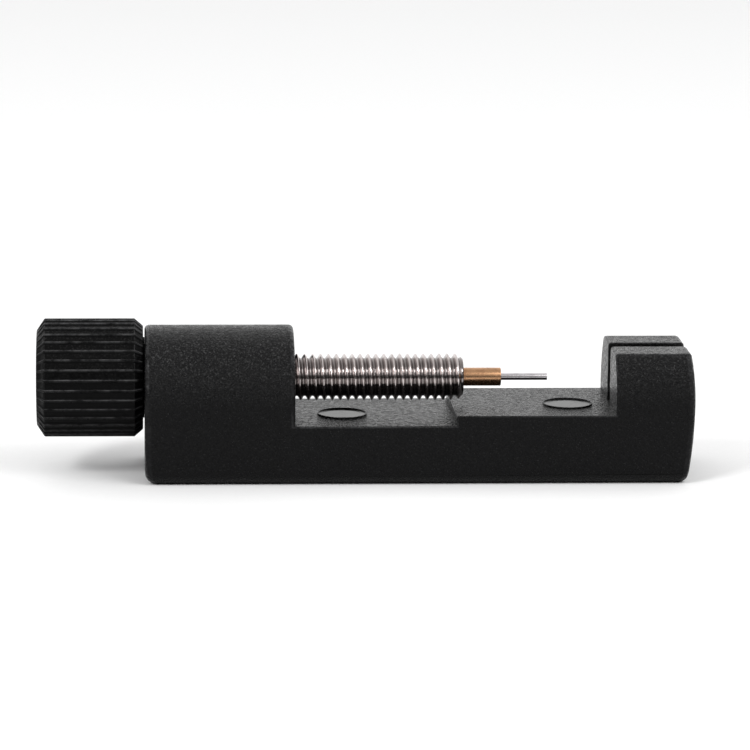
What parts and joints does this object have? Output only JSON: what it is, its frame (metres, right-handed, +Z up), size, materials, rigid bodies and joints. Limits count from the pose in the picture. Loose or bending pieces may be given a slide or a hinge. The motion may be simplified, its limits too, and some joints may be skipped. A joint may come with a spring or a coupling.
{
  "type": "bracelet link pin press",
  "caption": "Screw press that pushes link pins out of a watch bracelet: ribbed knob, threaded spindle and thin pin in a moulded cradle with a slotted anvil.",
  "frame": {"origin": "on the surface the tool stands on, under the middle of its overall length and width", "axes": "+X along the tool from the knob towards the anvil, +Z up, +Y to the back when the knob is on the left"},
  "size_m": [0.0825, 0.0178, 0.0195],
  "materials": {
    "body_plastic": "fine spark-eroded grain, black",
    "knob_plastic": "satin moulded black, ribbed",
    "spindle_steel": "bright cut stainless thread",
    "insert_brass": "turned",
    "holder_brass": "turned, slightly oxidised",
    "pin_steel": "hardened and ground"
  },
  "bodies": {
    "cradle": {"cradle_body": "body_plastic", "threaded_insert": "insert_brass"},
    "pin_carrier": {"tip_holder": "holder_brass", "drive_pin": "pin_steel"},
    "screw": {"drive_spindle": "spindle_steel", "thumb_knob": "knob_plastic"}
  },
  "joints": [
    {"name": "spindle_feed", "type": "slide", "parent": "cradle", "child": "pin_carrier", "axis": [1, 0, 0], "range_m": [-0.021, 0]},
    {"name": "knob_turn", "type": "hinge", "parent": "pin_carrier", "child": "screw", "pos_m": [-0.034, 0, 0.0121], "axis": [1, 0, 0], "range_deg": [-7560, 0]}
  ],
  "couplings": [
    {"joint": "spindle_feed", "follows": "knob_turn", "m_per_rad": 0.00015915}
  ]
}
